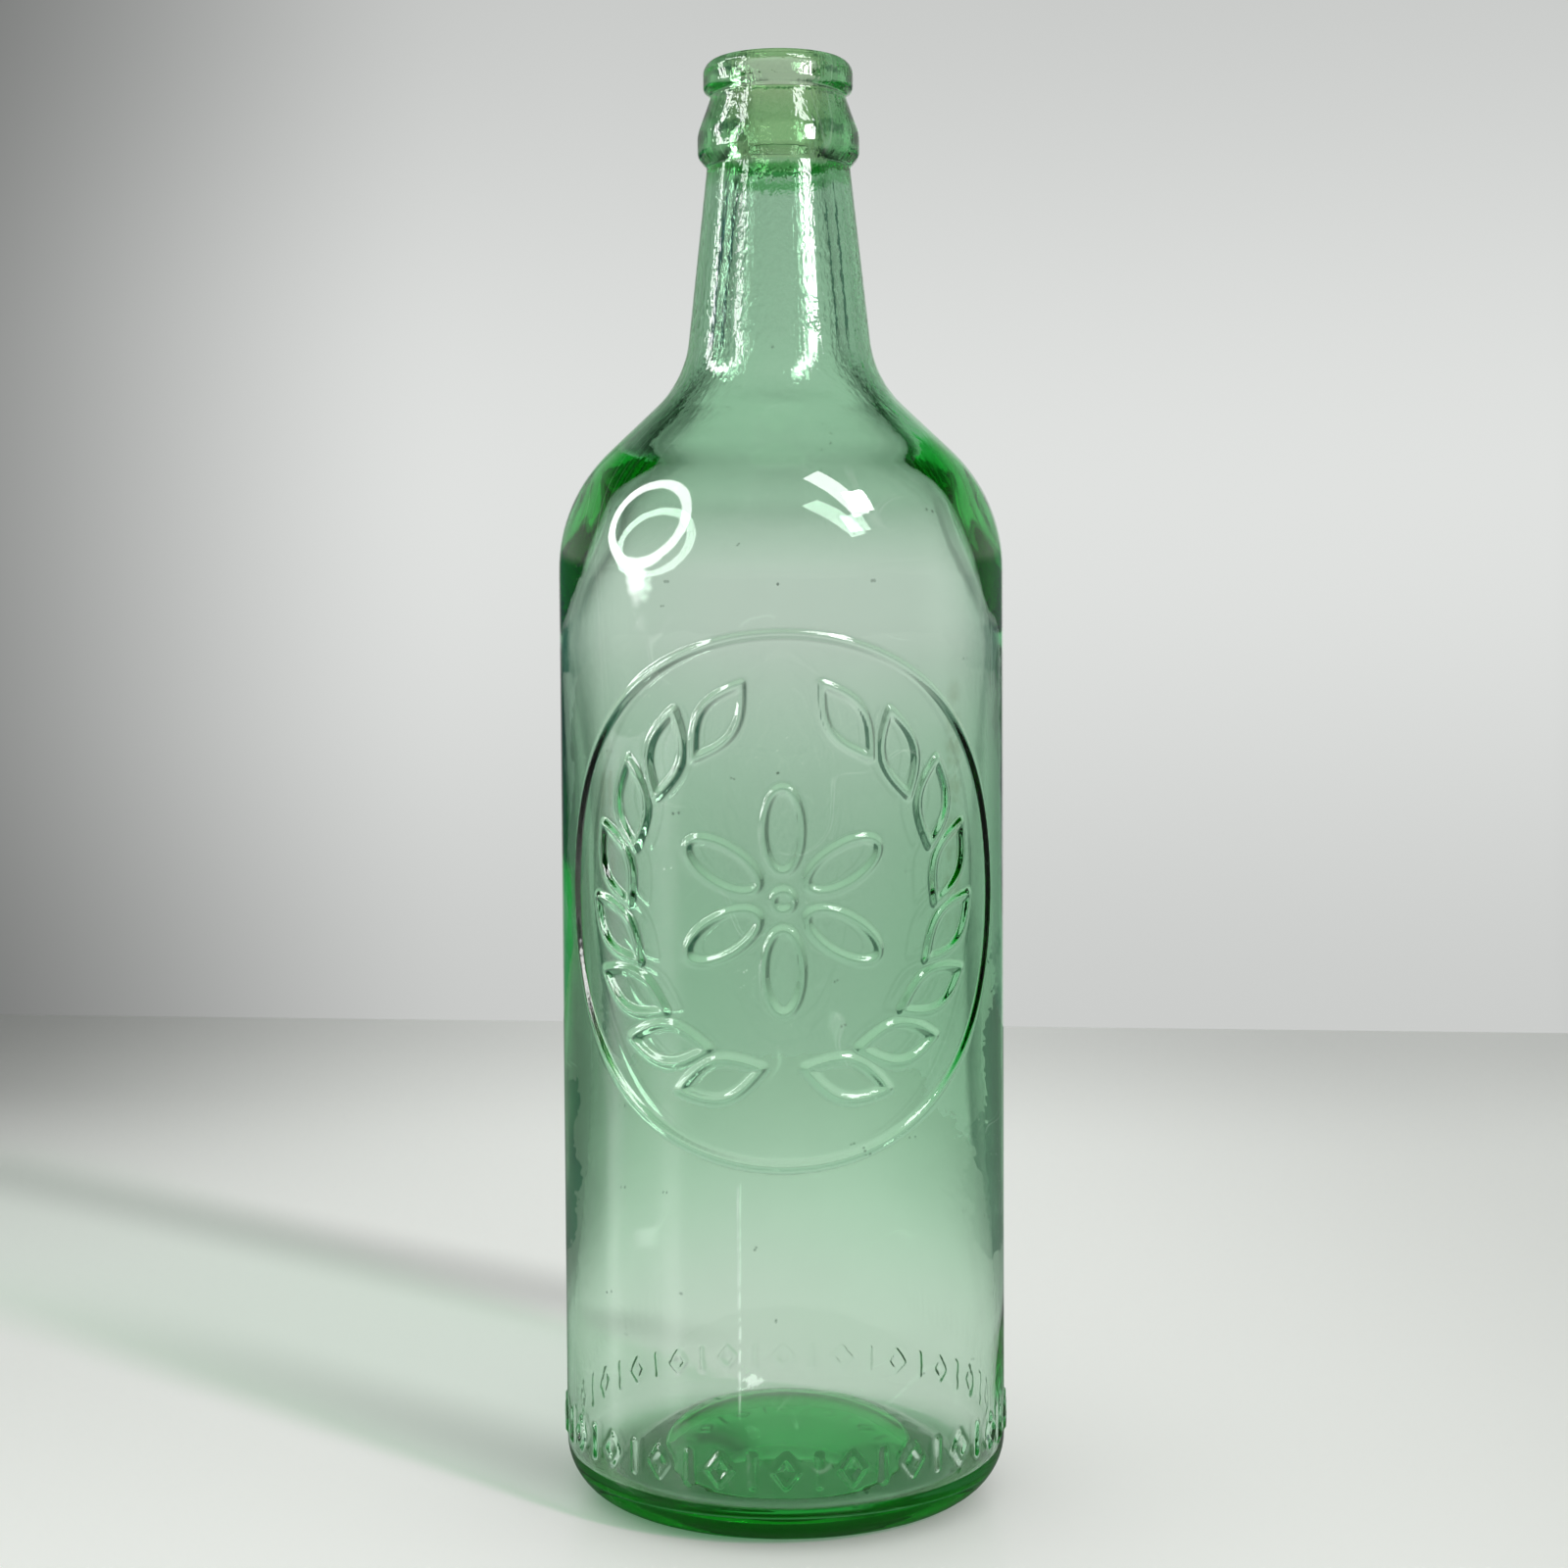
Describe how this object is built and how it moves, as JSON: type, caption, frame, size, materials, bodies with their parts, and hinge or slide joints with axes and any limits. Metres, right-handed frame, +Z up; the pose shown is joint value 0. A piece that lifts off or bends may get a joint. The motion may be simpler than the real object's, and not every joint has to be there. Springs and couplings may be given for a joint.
{
  "type": "cordial bottle",
  "caption": "Tall round glass cordial bottle with a tapering neck, a crown finish, a raised front ornament and a pushed-up base. Empty and open.",
  "frame": {"origin": "centre of the base on the plane it stands on", "axes": "+Z up along the bottle's axis to the mouth, -Y towards the ornamented front, +X to the front's right"},
  "size_m": [0.0806, 0.0806, 0.2562],
  "materials": {
    "glass_bottle": "clear pale green glass blown in a mould, with fine seeds and scuffs"
  },
  "bodies": {
    "root": {"glass_bottle": "glass_bottle"}
  },
  "joints": []
}
